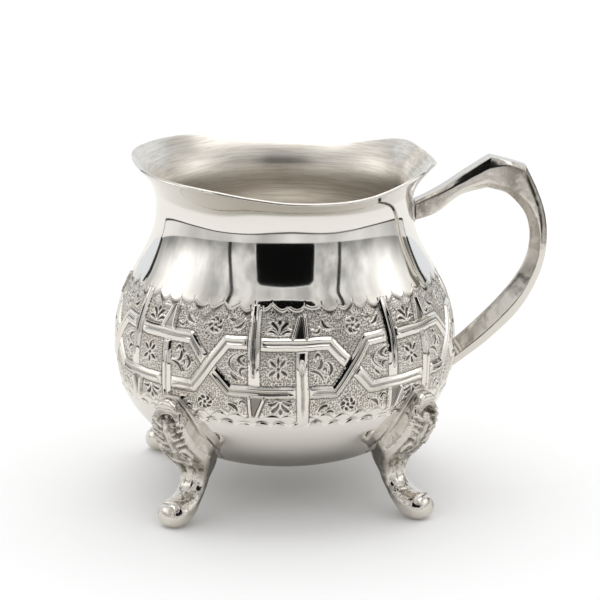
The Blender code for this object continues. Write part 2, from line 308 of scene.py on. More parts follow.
# ---- materials
class Nodes:
    """Short calls for a material's nodes. A value is a number, a colour or a node's output."""

    def __init__(self, name):
        self.material = bpy.data.materials.new(name)
        self.material.use_nodes = True
        self.tree = self.material.node_tree
        self.shader = self.tree.nodes["Principled BSDF"]

    def put(self, value, socket):
        if isinstance(value, bpy.types.NodeSocket):
            self.tree.links.new(value, socket)
        elif socket.type == "RGBA":
            socket.default_value = (*value, 1.0)
        else:
            socket.default_value = value

    def fill(self, node, inputs):
        for name, value in inputs.items():
            self.put(value, node.inputs[name])
        return node

    def add(self, kind, inputs, **settings):
        node = self.tree.nodes.new(kind)
        for name, value in settings.items():
            setattr(node, name, value)
        return self.fill(node, inputs)

    def math(self, operation, a, b=0.0):
        return self.add("ShaderNodeMath", {0: a, 1: b}, operation=operation).outputs[0]

    def times(self, a, b):
        return self.math("MULTIPLY", a, b)

    def plus(self, a, b):
        return self.math("ADD", a, b)

    def mix(self, factor, a, b):
        """A number between a and b."""
        inputs = {"Value": factor, "To Min": a, "To Max": b}
        return self.add("ShaderNodeMapRange", inputs).outputs[0]

    def ramp(self, factor, low, high):
        """0 below low, 1 above high, smooth between."""
        inputs = {"Value": factor, "From Min": low, "From Max": high}
        return self.add("ShaderNodeMapRange", inputs, interpolation_type="SMOOTHSTEP").outputs[0]

    def colours(self, factor, a, b):
        """A colour between a and b."""
        return self.add("ShaderNodeMix", {0: factor, 6: a, 7: b}, data_type="RGBA").outputs[2]

    def attribute(self, name):
        return self.add("ShaderNodeAttribute", {}, attribute_name=name).outputs["Fac"]

    def place(self):
        return self.add("ShaderNodeTexCoord", {}).outputs["Object"]

    def apart(self):
        """The x, y and z of the place."""
        return self.add("ShaderNodeSeparateXYZ", {0: self.place()}).outputs

    def distance(self, point=(0, 0, 0)):
        """How far the place is from a point."""
        inputs = {0: self.place(), 1: point}
        return self.add("ShaderNodeVectorMath", inputs, operation="DISTANCE").outputs["Value"]

    def stretched(self, vector, scale):
        return self.add("ShaderNodeMapping", {"Vector": vector, "Scale": scale}).outputs[0]

    def noise(self, vector, scale, detail=3.0, roughness=0.5):
        inputs = {"Vector": vector, "Scale": scale, "Detail": detail, "Roughness": roughness}
        return self.add("ShaderNodeTexNoise", inputs).outputs[0]

    def round_axis(self):
        """The turn round the vessel's axis, as metres at the belly, then radius and height."""
        x, y, z = self.apart()
        x = self.math("SUBTRACT", x, AXIS_X)
        squares = [self.math("POWER", self.math("ABSOLUTE", side), 2.0) for side in (x, y)]
        radius = self.math("SQRT", self.plus(*squares))
        along = self.times(self.math("ARCTAN2", y, x), BELLY_RADIUS)
        return self.add("ShaderNodeCombineXYZ", {"X": along, "Y": radius, "Z": z}).outputs[0]

    def bumps(self, height, depth, strength):
        """Adds a bump of that depth in metres to the shader's normal."""
        normal = self.shader.inputs["Normal"]
        inputs = {"Strength": strength, "Distance": depth, "Height": height}
        if normal.links:
            inputs["Normal"] = normal.links[0].from_socket
        self.put(self.add("ShaderNodeBump", inputs).outputs[0], normal)

    def shade(self, inputs):
        self.fill(self.shader, inputs)
        return self.material

    def metal(self, colour, roughness):
        return self.shade({"Metallic": 1.0, "Base Color": colour, "Roughness": roughness})


SILVER = (0.90, 0.885, 0.86)
SILVER_WARM = (0.78, 0.75, 0.705)
TARNISH = (0.055, 0.046, 0.035)
# painted shade: the colour the rim's underside is darkened towards at the front, standing in for the
# dark it reflects
RIM_SHADE_COLOUR = (0.50, 0.475, 0.425)


def polished_silver():
    """Mirror polish with faint wipe marks and a little haze, and a patch of painted shade under the
    rim.
    """
    nodes = Nodes("polished_silver")
    place = nodes.place()
    haze = nodes.noise(place, 60.0, 4.0)
    wipes = nodes.noise(nodes.stretched(nodes.round_axis(), (60, 900, 900)), 1.0, 2.0)
    spread = nodes.plus(nodes.times(haze, 0.06), nodes.times(wipes, 0.03))
    nodes.bumps(nodes.noise(place, 90.0, 2.0), 0.00006, 0.35)
    silver = nodes.colours(haze, SILVER, (0.87, 0.855, 0.83))
    # painted shade: the rim's downward faces at the front are darkened, standing in for a dark
    # reflection
    darkening = nodes.times(nodes.attribute("rim_shade"), nodes.mix(haze, 0.9, 1.2))
    return nodes.metal(nodes.colours(darkening, silver, RIM_SHADE_COLOUR), nodes.plus(spread, 0.015))


def brushed_silver():
    """The inside: satin, with marks of the brush round the vessel's axis."""
    nodes = Nodes("brushed_silver")
    around = nodes.round_axis()
    fine, broad = (
        nodes.noise(nodes.stretched(around, scale), 1.0, 3.0, 0.6)
        for scale in ((110, 5200, 5200), (40, 1500, 1500))
    )
    streaks = nodes.plus(nodes.times(fine, 0.5), nodes.times(broad, 0.5))
    nodes.bumps(streaks, 0.00010, 0.045)
    cloud = nodes.ramp(nodes.noise(nodes.place(), 60.0), 0.3, 0.7)
    bright = nodes.ramp(streaks, 0.38, 0.60)
    colour = nodes.colours(bright, (0.745, 0.705, 0.645), (0.985, 0.95, 0.895))
    return nodes.metal(colour, nodes.mix(cloud, 0.31, 0.39))


def chased_silver():
    """The relief band: polished straps, matted ground, and tarnish left in the recesses."""
    nodes = Nodes("chased_silver")
    place = nodes.place()
    ground, recess = nodes.attribute("ground"), nodes.attribute("recess")
    wear = nodes.noise(place, 160.0)
    matt = nodes.mix(wear, 0.16, 0.30)
    roughness = nodes.plus(nodes.mix(ground, 0.05, matt), nodes.times(recess, 0.2))
    nodes.bumps(nodes.noise(place, 1500.0), 0.00006, nodes.times(ground, 0.7))
    darkening = nodes.times(ground, nodes.ramp(wear, 0.2, 0.8))
    plain = nodes.colours(darkening, (0.885, 0.862, 0.82), (0.78, 0.735, 0.675))
    worn = nodes.times(recess, nodes.mix(nodes.ramp(wear, 0.3, 0.6), 0.78, 1.0))
    return nodes.metal(nodes.colours(worn, plain, TARNISH), roughness)


def cast_silver():
    """The handle: file-finished casting, with pitted places that the polish didn't reach."""
    nodes = Nodes("cast_silver")
    place = nodes.place()
    pits = nodes.attribute("pits")
    mottle = nodes.noise(place, 420.0, 4.0, 0.6)
    filed = nodes.mix(nodes.noise(place, 120.0), 0.10, 0.20)
    roughness = nodes.mix(pits, filed, nodes.mix(mottle, 0.26, 0.46))
    nodes.bumps(mottle, 0.00012, nodes.times(pits, 0.8))
    nodes.bumps(nodes.noise(place, 240.0), 0.00005, 0.5)
    darkening = nodes.times(pits, nodes.ramp(mottle, 0.30, 0.62))
    plain = nodes.colours(darkening, SILVER_WARM, (0.40, 0.36, 0.32))
    worn = nodes.times(nodes.attribute("recess"), nodes.ramp(mottle, 0.2, 0.5))
    return nodes.metal(nodes.colours(worn, plain, TARNISH), roughness)


def foot_silver():
    """The feet: cast leaves, mottled in their hollows, with painted shade on the sides of the shin
    and leaf, polished elsewhere.
    """
    nodes = Nodes("foot_silver")
    place = nodes.place()
    matted = nodes.attribute("matted")
    grain = nodes.noise(place, 1100.0, 4.0, 0.6)
    spots = nodes.noise(place, 520.0, 3.0, 0.6)
    polish = nodes.mix(nodes.noise(place, 200.0), 0.08, 0.16)
    roughness = nodes.mix(matted, polish, nodes.mix(grain, 0.18, 0.38))
    nodes.bumps(grain, 0.00016, nodes.times(matted, 0.9))
    nodes.bumps(nodes.noise(place, 300.0), 0.00006, 0.5)
    darkening = nodes.times(matted, nodes.ramp(spots, 0.36, 0.60))
    plain = nodes.colours(darkening, SILVER_WARM, (0.25, 0.225, 0.19))
    # painted shade in patches on the sides of the shin and leaf, standing in for the dark they
    # reflect
    shade_patches = nodes.mix(nodes.ramp(spots, 0.38, 0.60), 0.45, 1.0)
    plain = nodes.colours(nodes.times(nodes.attribute("flank_shade"), shade_patches), plain, (0.40, 0.385, 0.36))
    worn = nodes.times(nodes.attribute("recess"), nodes.ramp(grain, 0.25, 0.6))
    return nodes.metal(nodes.colours(worn, plain, TARNISH), roughness)


def solder_silver():
    """Satin solder, slightly greyer than the metal it joins."""
    nodes = Nodes("solder_silver")
    grain = nodes.noise(nodes.place(), 700.0)
    nodes.bumps(grain, 0.00008, 0.7)
    colour = nodes.colours(grain, (0.80, 0.77, 0.73), (0.62, 0.60, 0.57))
    return nodes.metal(colour, nodes.mix(grain, 0.22, 0.38))


# ---- shell
def under_profile(t):
    swing = t * math.pi / 2
    power = 2 / UNDERSIDE_FULLNESS
    radius = BELLY_RADIUS * np.sin(swing) ** power
    height = BELLY_Z - (BELLY_Z - UNDERSIDE_Z) * np.cos(swing) ** power
    return np.stack([radius, height], -1)


def shoulder_profile(t):
    start, end = np.array([BELLY_RADIUS, BELLY_Z]), np.array([NECK_RADIUS, NECK_Z])
    up, down = np.array([0, SHOULDER_PULL]), np.array([0, NECK_PULL])
    return bezier(start, start + up, end - down, end, t[:, None])


def body_profile(start=0.0):
    """The plain outside up to the neck, densely, from a share of the underside's curve."""
    under = under_profile(np.linspace(start, 1, PROFILE_STEPS))
    return np.vstack([under, shoulder_profile(np.linspace(0.001, 1, PROFILE_STEPS))])


def body_radius(height):
    """The plain outside's radius at each height up to the neck."""
    profile = body_profile()
    return np.interp(height, profile[:, 1], profile[:, 0])


def lip_edge(angle):
    """The rim's radius and height at an angle; the two sides of the lip are alike."""
    turn = math.degrees(angle) % 360
    turn = min(turn, 360 - turn)
    keys, radii, heights = zip(*LIP)
    return np.array([smooth_between(keys, radii, turn), smooth_between(keys, heights, turn)])


def lip_profile(angle, t):
    lean = np.array([math.cos(LIP_SLOPE), math.sin(LIP_SLOPE)])
    edge = lip_edge(angle) - RIM_BULGE * WALL / 2 * lean
    pull = LIP_PULL * (edge[1] - NECK_Z)
    start = np.array([NECK_RADIUS, NECK_Z])
    return bezier(start, start + np.array([0, pull]), edge - pull * lean, edge, t[:, None])


def profile_normals(profile):
    """Square to a profile, to the right of the way it runs."""
    along = np.gradient(profile, axis=0)
    along /= np.linalg.norm(along, axis=1, keepdims=True)
    return np.stack([along[:, 1], -along[:, 0]], -1)


def swell(height):
    """How far the sheet stands proud along the band's upper edge."""
    return SWELL * bump(height, SWELL_Z, SWELL_HALF)


def turned(radius, height, angle):
    """Points at an angle round the vessel's axis."""
    return np.stack([AXIS_X + radius * np.cos(angle), radius * np.sin(angle), height], -1)


def shell_column(angle):
    """Outside from the pole to the lip, round the rim, and inside down to the pole; then how
    many of its points are outside, and how much painted shade each one gets under the rim."""
    def steps(count):
        return (np.arange(count) + 1) / count

    below, above = under_profile(steps(ROWS_UNDER)), shoulder_profile(steps(ROWS_SHOULDER))
    outer = np.vstack([below, above, lip_profile(angle, steps(ROWS_LIP))])
    outer = outer + profile_normals(outer) * swell(outer[:, 1])[:, None]
    normals = profile_normals(outer)
    lean = np.array([-normals[-1, 1], normals[-1, 0]])
    middle = outer[-1] - normals[-1] * WALL / 2
    turns = (np.arange(1, ROWS_RIM) * math.pi / ROWS_RIM)[:, None]
    rim = middle + WALL / 2 * (np.cos(turns) * normals[-1] + RIM_BULGE * np.sin(turns) * lean)
    inner = (outer - normals * WALL)[::-1]
    inner[:, 0] = np.maximum(inner[:, 0], 0.0002)
    inside = np.vstack([inner[:ROWS_LIP], inner[ROWS_LIP::2]])
    low, high = BAND_LOW * MM, BAND_HIGH * MM
    sunk = ease(low + 0.0010, low + 0.0022, outer[:, 1])
    sunk *= 1 - ease(high - 0.0022, high - 0.0010, outer[:, 1])
    outside = outer - normals * (SINK * sunk)[:, None]
    # painted shade under the rim: faces turned down above the neck, near the front only
    darkening = ease(0.36, 0.46, -normals[:, 1]) * (outer[:, 1] > NECK_Z)
    darkening *= bump((math.degrees(angle) - RIM_SHADE_AT + 180) % 360 - 180, 0.0, RIM_SHADE_HALF)
    darkening = np.concatenate([darkening, np.zeros(len(rim) + len(inside))])
    return np.vstack([outside, rim, inside]), len(outside) + len(rim) // 2, darkening


def make_shell():
    angles = np.arange(SHELL_COLUMNS) * 2 * math.pi / SHELL_COLUMNS
    profiles, outsides, darkening = zip(*(shell_column(angle) for angle in angles))
    profiles = np.stack(profiles, 1)
    points = turned(profiles[..., 0], profiles[..., 1], angles[None, :])
    rows = len(points)
    quads = grid_quads(rows, SHELL_COLUMNS, wrap=True).reshape(-1, 4)
    poles = np.array([[AXIS_X, 0, UNDERSIDE_Z], [AXIS_X, 0, UNDERSIDE_Z + WALL]])
    points = np.vstack([points.reshape(-1, 3), poles])
    fans = end_fans(rows, SHELL_COLUMNS)
    shell = mesh_object("shell", points, quads, fans, (polished_silver(), brushed_silver()))
    material = np.zeros(len(shell.data.polygons), np.int32)
    material[outsides[0] * SHELL_COLUMNS : len(quads)] = 1
    material[len(quads) + SHELL_COLUMNS :] = 1
    shell.data.polygons.foreach_set("material_index", material)
    # the painted shade under the rim, as a number at each point
    set_attribute(shell, "rim_shade", np.stack(darkening, 1))
    stand_for(shell, "body_shell")


# ---- relief band
def across(x, middle):
    """Distance along the band from a place in the repeat, the short way round."""
    return (x - middle + REPEAT_MM / 2) % REPEAT_MM - REPEAT_MM / 2


def to_segment(x, z, start, end):
    """Distance from each point to a straight segment, both in mm."""
    run = np.subtract(end, start)
    t = np.clip(((x - start[0]) * run[0] + (z - start[1]) * run[1]) / (run @ run), 0, 1)
    return np.hypot(x - start[0] - t * run[0], z - start[1] - t * run[1])


def to_path(x, z, corners):
    """Distance from each point to the line through the corners."""
    return np.minimum.reduce([to_segment(x, z, *ends) for ends in zip(corners, corners[1:])])


def strap(distance, groove):
    """Height of a strap over the ground: two ridges with a groove between them."""
    edge = np.clip((STRAP_HALF - distance) / 0.95, 0, 1)
    edge = 0.85 * edge + 0.15 * edge * (2 - edge)
    ridge = bump(distance, 0.92, 0.42)
    valley = np.clip(1 - (distance / 0.66) ** 2, 0, 1) ** 1.2
    return edge * (STRAP_TOP + RIDGE_RISE * ridge - GROOVE_DEPTH * groove * valley)


def trench(distance):
    """A fine chased line just outside an edge."""
    return -0.16 * bump(distance, 0.12, 0.15)


class Relief:
    """One repeat of the band: height over the plain shell, matted ground, dark recesses."""

    def __init__(self, x, z):
        self.x, self.z = x, z
        self.height = np.full(x.shape, GROUND)
        self.ground = ease(32.2, 33.6, z) * np.ones(x.shape)
        self.height += 0.26 * (1 - self.ground)
        self.recess = np.zeros(x.shape)

    def raise_to(self, height, inside, outline):
        """Lays a raised form: its height, where it is, and the distance outside its edge."""
        line = trench(outline) * (outline > -0.05)
        self.height = np.maximum(self.height + line, GROUND + height)
        self.ground = np.minimum(self.ground, 1 - inside)
        self.recess = np.maximum(self.recess * (1 - inside), 0.95 * line / -0.16 * (1 - inside))

    def cut(self, start, middle, end, width, fat=0.5, turn=False):
        """A crescent punched into a smooth raised patch, widest at the share fat."""
        if turn:
            start, middle, end = ((-p[0], 2 * MIDDLE_Z - p[1]) for p in (start, middle, end))
        curve, taper = stroke(start, middle, end, fat, 22)
        widths = width / 2 * taper + 0.06
        low, high = curve.min(0) - width - 0.6, curve.max(0) + width + 0.6
        centre, reach = (low + high) / 2, (high - low) / 2
        near = np.abs(across(self.x, centre[0])) < reach[0]
        near &= np.abs(self.z - centre[1]) < reach[1]
        x = centre[0] + across(self.x[near], centre[0])
        apart = np.hypot(x[:, None] - curve[:, 0], self.z[near][:, None] - curve[:, 1])
        best = np.argmin(apart - widths, 1)
        distance = apart[np.arange(len(best)), best]
        patch = ease(0.55, 0.15, distance - widths[best])
        hollow = np.clip(1 - (distance / widths[best]) ** 2, 0, 1) ** 0.8
        raised = np.maximum(self.height[near], GROUND + 0.24 * patch)
        self.height[near] = raised - CUT_DEPTH * hollow
        self.ground[near] = np.minimum(self.ground[near], 1 - patch)
        dark = ease(0.1, 0.75, hollow)
        self.recess[near] = np.maximum(self.recess[near] * (1 - patch), dark)

    def scallops(self):
        """Two staggered rows of hanging scallops step down from the plain shell at the
        band's upper edge, and fainter rows, turned over, end it below."""
        pitch = REPEAT_MM / SCALLOPS
        for lower in (False, True):
            z = 2 * MIDDLE_Z - self.z if lower else self.z
            side = -1 if lower else 1
            waver = 2 * math.pi * side * self.x / REPEAT_MM
            for row, level, plain, strength in ((0, 0.0, 1.0, 1.0), (1, GROUND * 0.62, 0.35, 0.6)):
                top = SCALLOP_Z[row] + SCALLOP_DROP * lower
                top = top + 0.22 * np.sin(3 * waver + row) + 0.16 * np.sin(7 * waver + 2 * row)
                x = (side * self.x + row * pitch / 2 + pitch / 2) % pitch - pitch / 2
                share = np.clip(1 - (2 * x / pitch) ** 2, 0, 1)
                above = z - (top - SCALLOP_SAG * share)
                step = GROUND + (level - GROUND) * ease(-0.25, 0.25, above)
                self.height = np.maximum(self.height, step)
                self.ground = np.minimum(self.ground, 1 - plain * ease(-0.1, 0.05, above))
                strength = strength * (0.8 + 0.3 * np.sin(5 * waver + 4 * row))
                thickness = 0.13 + 0.12 * share if lower else 0.25 + 0.32 * share
                crescent = bump(above, -0.32, thickness) * (0.3 + 0.7 * share**0.5)
                lip = bump(above, 0.36, 0.24) * share
                self.height += strength * (0.14 * lip - 0.42 * crescent)
                self.recess = np.maximum(self.recess, strength * crescent)
                cusp = bump(np.abs(x) - pitch / 2, 0.0, 0.16) * ease(-0.3, 0.2, above)
                cusp = cusp * ease(1.6, 0.2, above)
                self.height -= 0.07 * strength * cusp
                self.recess = np.maximum(self.recess, 0.25 * strength * cusp)

    def straps(self):
        """Two straps, one running / and one running \\ between the levels, with uprights
        that weave over one level and stop at the other."""
        x, z = self.x, self.z
        low, high = STRAP_Z
        far = REPEAT_MM * 0.75
        slash_at = to_segment(x, z, (-SLASH_REACH, low), (SLASH_REACH, high))
        slash, backslash = (
            to_path(x, z, ((-far, begin), (-reach, begin), (reach, end), (far, end)))
            for reach, begin, end in ((SLASH_REACH, low, high), (BACKSLASH_REACH, high, low))
        )
        up, down = np.abs(across(x, UPRIGHT_X)), np.abs(across(x, DOWNRIGHT_X))
        upper, lower = ease(6, 4, np.abs(z - high)), ease(6, 4, np.abs(z - low))

        def under(distance):
            return 0.25 + 0.75 * ease(STRAP_HALF - 0.1, STRAP_HALF + 1.0, distance)

        def groove_near(distance):
            return ease(STRAP_HALF + 0.2, STRAP_HALF + 3.0, distance)

        crossing = np.minimum(
            np.where(upper > 0, groove_near(up), 1.0), np.where(lower > 0, groove_near(down), 1.0)
        )
        dips = np.where(upper > 0.5, under(up), 1.0) * np.where(lower > 0.5, under(down), 1.0)
        over_height = strap(slash, crossing) * dips
        under_height = strap(backslash, crossing * groove_near(slash_at)) * dips * under(slash_at)
        lens_up = ease(42.5, 46.5, z) * ease(59.0, 55.0, z)
        lens_down = ease(47.7, 43.7, z) * ease(31.2, 35.2, z)
        up_span = ease(low + STRAP_HALF - 0.3, low + STRAP_HALF + 0.5, z) * (z < 60.2)
        down_span = ease(high - STRAP_HALF + 0.3, high - STRAP_HALF - 0.5, z) * (z > 30.0)
        up_height = strap(up, 1.15 * lens_up) * up_span * (1 + 0.12 * lens_up)
        down_height = strap(down, 1.15 * lens_down) * down_span * (1 + 0.12 * lens_down)
        for height, distance, span, groove in (
            (under_height, backslash, 1.0, crossing * groove_near(slash_at)),
            (over_height, slash, 1.0, crossing),
            (up_height, up, up_span, lens_up),
            (down_height, down, down_span, lens_down),
        ):
            inside = ease(STRAP_HALF + 0.02, STRAP_HALF - 0.12, distance) * span
            outline = np.where(np.asarray(span) > 0.5, distance - STRAP_HALF, 9.0)
            self.raise_to(height, inside, outline)
            dark = ease(0.50, 0.10, distance) * groove * inside
            self.recess = np.maximum(self.recess, 0.6 * dark)

    def spurs(self):
        """Each upright goes on past the strap it stops at, as a hollow tapering point."""
        for turn in (False, True):
            sign = -1 if turn else 1
            x = sign * across(self.x, UPRIGHT_X if turn else DOWNRIGHT_X)
            z = self.z if not turn else 2 * MIDDLE_Z - self.z
            base, tip = STRAP_Z[1] + STRAP_HALF - 0.2, SPUR_TIP_Z
            rise = np.clip((z - base) / (tip - base), 0, 1)
            left, right = -3.3 + 2.2 * rise, 2.0 - 0.3 * rise
            inside = np.minimum(x - left, right - x)
            shown = ease(base - 0.2, base + 0.2, z) * ease(tip + 0.3, tip - 0.5, z)
            edge = ease(-0.05, 0.40, inside) * shown
            hollow = ease(0.85, 1.35, inside) * shown
            self.raise_to(edge * 0.80 - 0.66 * hollow, edge, np.where(shown > 0.5, -inside, 9.0))
            self.recess = np.maximum(self.recess, 0.75 * hollow)

    def palmette(self, x, z, turn):
        self.cut((x, z), (x, z + 1.9), (x, z + 3.3), 1.5, 0.75, turn)
        for side in (-1, 1):
            inner = (x + side * 0.3, z), (x + side * 0.9, z + 1.7), (x + side * 2.6, z + 2.6)
            outer = (x + side * 0.6, z - 0.1), (x + side * 2.0, z + 0.7), (x + side * 3.4, z + 0.5)
            self.cut(*inner, 1.1, 0.7, turn)
            self.cut(*outer, 0.8, 0.6, turn)

    def star(self, x, z):
        for degrees in (90, 138, 48, 214, 326, 270):
            a = math.radians(degrees)
            reach = 3.0 if degrees != 270 else 2.6
            start = (x + 0.6 * math.cos(a), z + 0.6 * math.sin(a))
            end = (x + reach * math.cos(a), z + reach * math.sin(a))
            middle = ((start[0] + end[0]) / 2, (start[1] + end[1]) / 2)
            self.cut(start, middle, end, 0.95, 0.6)
        self.cut((x - 0.3, z), (x, z), (x + 0.3, z), 1.0)

    def rosette(self, x, z, turn):
        petals = 7
        for k in range(petals):
            a = 2 * math.pi * k / petals + 0.3
            tangent = a + 1.1
            start = (x + 0.75 * math.cos(a), z + 0.65 * math.sin(a))
            middle = (x + 1.7 * math.cos(a + 0.2), z + 1.35 * math.sin(a + 0.2))
            end = (start[0] + 1.5 * math.cos(tangent), start[1] + 1.25 * math.sin(tangent))
            self.cut(start, middle, end, 1.0, 0.45, turn)
        self.cut((x - 0.25, z), (x, z), (x + 0.25, z), 1.0, 0.5, turn)

    def motifs(self):
        """Leaves and flowers in the panels between the straps."""
        half = REPEAT_MM / 2
        for turn in (False, True):
            self.palmette(half, 53.7, turn)
            self.rosette(1.2, 55.1, turn)
            for crescent in (
                ((9.8, 56.6), (8.6, 55.2), (7.0, 54.9), 0.9),
                ((-8.2, 56.9), (-7.4, 55.4), (-5.4, 54.9), 1.0),
                ((-11.0, 54.4), (-9.6, 53.9), (-8.8, 54.9), 0.6),
                ((5.2, 57.0), (6.3, 56.5), (7.4, 57.0), 0.7),
            ):
                self.cut(*crescent, 0.5, turn)
        self.star(half - 0.4, 45.3)
        for crescent in (
            # scrolls in the panel before the upright
            ((11.3, 48.6), (8.9, 47.2), (11.2, 45.7), 1.0),
            ((11.0, 47.6), (10.4, 47.0), (11.0, 46.5), 0.6),
            ((11.2, 44.9), (9.3, 44.5), (10.2, 42.5), 0.8, 0.3),
            ((9.3, 49.0), (6.2, 46.2), (9.9, 42.7), 0.5),
            ((6.6, 43.6), (7.6, 42.6), (8.6, 41.8), 0.7),
            # hooked leaves in the panel after the upright
            ((-12.2, 44.8), (-9.2, 45.4), (-8.9, 48.2), 1.0, 0.75),
            ((-8.9, 48.0), (-9.8, 48.7), (-10.4, 47.6), 0.8, 0.3),
            ((-12.0, 44.6), (-9.6, 44.0), (-8.2, 41.9), 0.8, 0.4),
            ((-7.3, 46.9), (-5.9, 45.3), (-6.9, 43.2), 0.9),
            ((-8.4, 44.6), (-7.6, 45.2), (-7.5, 44.2), 0.6),
        ):
            self.cut(*crescent)

    def build(self):
        self.motifs()
        self.scallops()
        self.straps()
        self.spurs()
        edge = ease(BAND_LOW + 0.5, BAND_LOW + 0.9, self.z)
        edge *= 1 - ease(BAND_HIGH - 0.9, BAND_HIGH - 0.5, self.z)
        return self.height * edge, self.ground * edge, self.recess * edge


def stipple(along, z):
    """Punch marks at jittered places, a hollow at each."""
    cells = int(round(REPEATS * REPEAT_MM / STIPPLE))
    rows = int((BAND_HIGH - BAND_LOW) / STIPPLE) + 3
    jitter = np.random.default_rng(7).uniform(0.15, 0.85, (cells, rows, 2))
    column = np.floor(along / STIPPLE).astype(int)
    row = np.floor((z - BAND_LOW) / STIPPLE).astype(int) + 1
    nearest = np.full(along.shape, 9.0)
    for i in (-1, 0, 1):
        for j in (-1, 0, 1):
            c, r = column + i, np.clip(row + j, 0, rows - 1)
            offset = jitter[c % cells, r]
            px = (c + offset[..., 0]) * STIPPLE
            pz = BAND_LOW + (r - 1 + offset[..., 1]) * STIPPLE
            nearest = np.minimum(nearest, np.hypot(along - px, z - pz))
    return bump(nearest, 0.0, 0.18)


def make_band():
    columns = REPEATS * COLUMNS_PER_REPEAT
    heights = np.linspace(BAND_LOW, BAND_HIGH, BAND_ROWS)
    phase = (np.arange(COLUMNS_PER_REPEAT) / COLUMNS_PER_REPEAT - 0.5) * REPEAT_MM
    x, z = np.meshgrid(phase, heights)
    height, ground, recess = (np.tile(layer, REPEATS) for layer in Relief(x, z).build())
    turn = (np.arange(columns) - COLUMNS_PER_REPEAT / 2) * 2 * math.pi / columns
    turn, z = np.meshgrid(turn, heights)
    punched = ground * stipple((turn % (2 * math.pi)) * BELLY_MM, z)
    height -= STIPPLE_DEPTH * punched
    recess = np.maximum(recess, punched)

    # the hand of the chaser: the pattern wanders a little, except at the band's edges
    fade = ease(BAND_LOW, BAND_LOW + 4, z) * (1 - ease(BAND_HIGH - 4, BAND_HIGH, z))
    sway = np.sin(3 * turn + z / 5) + 0.7 * np.sin(11 * turn - z / 3)
    sway = sway + 0.5 * np.sin(23 * turn + z / 2)
    lift = np.sin(5 * turn + 1) + 0.6 * np.sin(13 * turn - z / 7) + 0.5 * np.sin(29 * turn)
    start = math.radians(FIRST_CROSSING) + turn + 0.0022 * sway * fade
    angle = start - CROWDING * np.sin(start - math.radians(CROWDED_AT))
    z = (z + 0.11 * lift * fade) * MM

    dense = body_profile(0.5)
    layers = np.hstack([dense[:, :1], profile_normals(dense)]).T
    radius, out_r, out_z = (np.interp(z, dense[:, 1], layer) for layer in layers)
    rise = height * MM + swell(z) + 0.00003
    points = turned(radius + rise * out_r, z + rise * out_z, angle)

    closed = np.concatenate([points[:, -1:], points, points[:, :1]], 1)
    east = closed[:, 2:] - closed[:, :-2]
    north = np.gradient(points, axis=0)
    normal = np.cross(east, north)
    normal /= np.linalg.norm(normal, axis=-1, keepdims=True)

    row = np.arange(BAND_ROWS)
    tuck = 0.00012 * (ease(1.5, 0.0, row) + ease(BAND_ROWS - 2.5, BAND_ROWS - 1, row))[:, None]
    points[..., 0] -= tuck * np.cos(angle)
    points[..., 1] -= tuck * np.sin(angle)
    material = chased_silver()
    ends = np.linspace(0, columns, BAND_FIELDS + 1).astype(int)
    for k in range(BAND_FIELDS):
        chosen = np.arange(ends[k], ends[k + 1] + 1) % columns
        field = mesh_object(
            f"relief_band_{k + 1}",
            points[:, chosen].reshape(-1, 3),
            grid_quads(BAND_ROWS, len(chosen), wrap=False),
            materials=(material,),
            normals=normal[:, chosen].reshape(-1, 3),
        )
        set_attribute(field, "ground", ground[:, chosen])
        set_attribute(field, "recess", recess[:, chosen])
        stand_for(field, "body_shell")


# ---- handle
def handle_ring(row):
    """The bar's octagon with softened edges: seven points for each corner and the flat after."""
    outer, inner = np.array([row[0], 0, row[1]]), np.array([row[2], 0, row[3]])
    half, outer_bevel, inner_bevel = row[4], row[5], row[6]
    outer_side = outer + (inner - outer) * outer_bevel
    inner_side = inner + (outer - inner) * min(inner_bevel, 0.97 - outer_bevel)
    outer_flat, inner_flat = half * row[7], half * row[8]
    right = (outer, outer_flat), (outer_side, half), (inner_side, half), (inner, inner_flat)
    left = [(middle, -reach) for middle, reach in reversed(right)]
    corners = [middle + (0, reach, 0) for middle, reach in (*left[3:], *right, *left[:3])]
    ring = []
    for k, corner in enumerate(corners):
        before, after = corners[k - 1], corners[(k + 1) % 8]
        length_in, length_out = np.linalg.norm(before - corner), np.linalg.norm(after - corner)
        into = (before - corner) / max(length_in, 1e-9)
        away = (after - corner) / max(length_out, 1e-9) * min(EDGE_SOFTNESS, 0.35 * length_out)
        p, q = corner + into * min(EDGE_SOFTNESS, 0.35 * length_in), corner + away
        ring += [quadratic(p, corner, q, t) for t in (0, 0.33, 0.67, 1)]
        ring += [q + (after - away - q) * t for t in (0.25, 0.5, 0.75)]
    return ring


def face_out(obj):
    """Turns the faces round if the closed mesh is inside out."""
    mesh = obj.data
    co = np.empty(len(mesh.vertices) * 3)
    mesh.vertices.foreach_get("co", co)
    co = co.reshape(-1, 3)
    mesh.calc_loop_triangles()
    faces = np.empty(len(mesh.loop_triangles) * 3, np.int32)
    mesh.loop_triangles.foreach_get("vertices", faces)
    if np.linalg.det(co[faces.reshape(-1, 3)] - co.mean(0)).sum() < 0:
        mesh.flip_normals()
    return obj


def capped_loft(name, rings, material):
    """A closed surface through rings of points, with a fan at each end."""
    rows, columns = rings.shape[:2]
    points = np.vstack([rings.reshape(-1, 3), rings[0].mean(0), rings[-1].mean(0)])
    quads = grid_quads(rows, columns, wrap=True)
    return face_out(mesh_object(name, points, quads, end_fans(rows, columns), (material,)))


def seat_on_body(points):
    """Pushes out every point, of a piece that lies to +X of the axis at 0, 0, which is nearer
    to the shell than the gap."""
    radius = np.hypot(points[..., 0], points[..., 1])
    room = body_radius(points[..., 2]) + GAP
    near = (radius < room) & (points[..., 2] < NECK_Z) & (points[..., 0] > 0)
    near &= points[..., 2] > UNDERSIDE_Z
    points[..., :2] *= np.where(near, room / np.maximum(radius, 1e-6), 1.0)[..., None]
    return points


